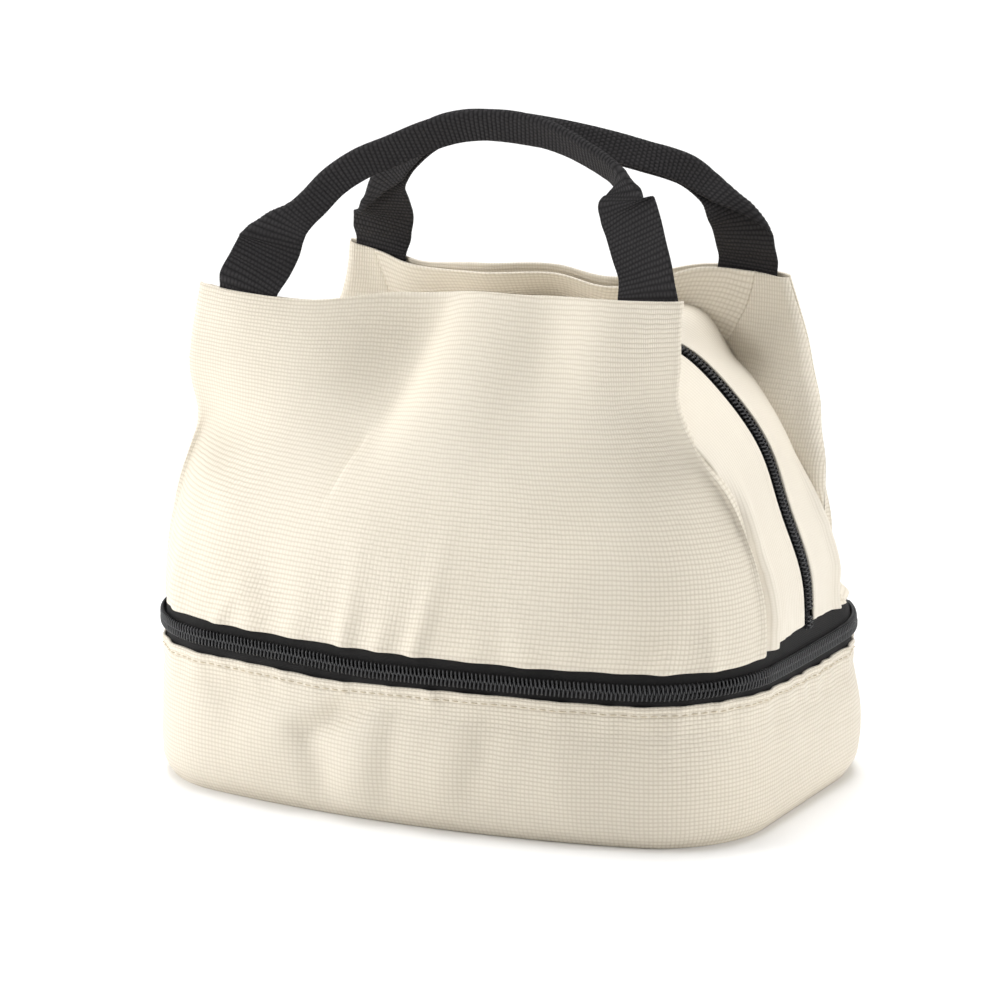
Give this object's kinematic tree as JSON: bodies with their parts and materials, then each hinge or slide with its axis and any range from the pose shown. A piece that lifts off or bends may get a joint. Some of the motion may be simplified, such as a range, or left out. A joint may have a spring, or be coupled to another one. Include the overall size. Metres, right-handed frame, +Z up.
{
  "type": "portable cooler",
  "caption": "Soft two-compartment lunch cooler with a zipped lower tub, a zipped upper bag and webbing carry handles.",
  "frame": {"origin": "middle of the flat base, on the ground", "axes": "+Z up, +X to the right seen from the front, front at -Y"},
  "size_m": [0.2709, 0.1958, 0.2701],
  "materials": {
    "cream_cloth": "matte ribbed polyester",
    "gusset_cloth": "matte ribbed polyester",
    "webbing": "matte woven webbing",
    "zip_tape": "matte woven tape",
    "zip_coil": "satin nylon",
    "slider_metal": "black enamel",
    "lining": "satin wipe-clean film",
    "foam": "matte closed-cell foam",
    "board": "matte",
    "binding": "matte woven tape"
  },
  "bodies": {
    "lower_tub": {"base_panel": "cream_cloth", "base_board": "board", "base_foam": "foam", "lower_wall": "cream_cloth", "lower_wall_foam": "foam", "lower_liner": "lining", "lower_rim_binding": "binding", "belt_zip_lower_tape": "zip_tape", "belt_zip_lower_coil": "zip_coil", "belt_zip_end": "zip_coil", "rear_hinge_lower": "cream_cloth"},
    "belt_slider": {"belt_slider": "slider_metal"},
    "belt_pull": {"belt_pull": "slider_metal"},
    "upper_base": {"belt_zip_upper_tape": "zip_tape", "belt_zip_upper_coil": "zip_coil", "rear_hinge_upper": "cream_cloth", "divider_under_lining": "lining", "divider_foam": "foam", "divider_top_lining": "lining", "arch_zip_end_left": "zip_coil", "arch_zip_end_right": "zip_coil"},
    "arch_slider": {"arch_slider": "slider_metal"},
    "arch_pull": {"arch_pull": "slider_metal"},
    "front_half": {"front_panel": "cream_cloth", "front_foam": "foam", "front_liner": "lining", "front_facing": "cream_cloth", "front_gusset": "gusset_cloth", "front_gusset_lining": "lining", "arch_zip_front_tape": "zip_tape", "arch_zip_front_coil": "zip_coil", "front_handle_tail_left": "webbing", "front_handle_tail_right": "webbing"},
    "back_half": {"back_panel": "cream_cloth", "back_foam": "foam", "back_liner": "lining", "back_facing": "cream_cloth", "back_gusset": "gusset_cloth", "back_gusset_lining": "lining", "arch_zip_back_tape": "zip_tape", "arch_zip_back_coil": "zip_coil", "back_handle_tail_left": "webbing", "back_handle_tail_right": "webbing"},
    "front_handle": {"front_handle": "webbing"},
    "back_handle": {"back_handle": "webbing"}
  },
  "joints": [
    {"name": "upper_tilt", "type": "hinge", "parent": "lower_tub", "child": "upper_base", "pos_m": [0, 0.0945, 0.064], "axis": [-1, 0, 0], "range_deg": [0, 100]},
    {"name": "front_mouth", "type": "hinge", "parent": "upper_base", "child": "front_half", "pos_m": [0, -0.0953, 0.071], "axis": [1, 0, 0], "range_deg": [0, 15]},
    {"name": "back_mouth", "type": "hinge", "parent": "upper_base", "child": "back_half", "pos_m": [0, 0.0953, 0.071], "axis": [-1, 0, 0], "range_deg": [0, 15]},
    {"name": "front_handle_swing", "type": "hinge", "parent": "front_half", "child": "front_handle", "pos_m": [0, -0.0515, 0.2045], "axis": [1, 0, 0], "range_deg": [0, 170]},
    {"name": "back_handle_swing", "type": "hinge", "parent": "back_half", "child": "back_handle", "pos_m": [0, 0.0515, 0.2045], "axis": [-1, 0, 0], "range_deg": [0, 170]},
    {"name": "belt_slider_run", "type": "slide", "parent": "lower_tub", "child": "belt_slider", "axis": [0, -1, 0], "range_m": [0, 0.05]},
    {"name": "belt_pull_swing", "type": "hinge", "parent": "belt_slider", "child": "belt_pull", "pos_m": [-0.1352, 0.024, 0.064], "axis": [0, 0, -1], "range_deg": [0, 170]},
    {"name": "arch_slider_run", "type": "hinge", "parent": "upper_base", "child": "arch_slider", "pos_m": [-0.032, 0, 0.086], "axis": [0, 1, 0], "range_deg": [0, 60]},
    {"name": "arch_pull_swing", "type": "hinge", "parent": "arch_slider", "child": "arch_pull", "pos_m": [-0.13425, 0, 0.09755], "axis": [0, 1, 0], "range_deg": [0, 165]}
  ]
}
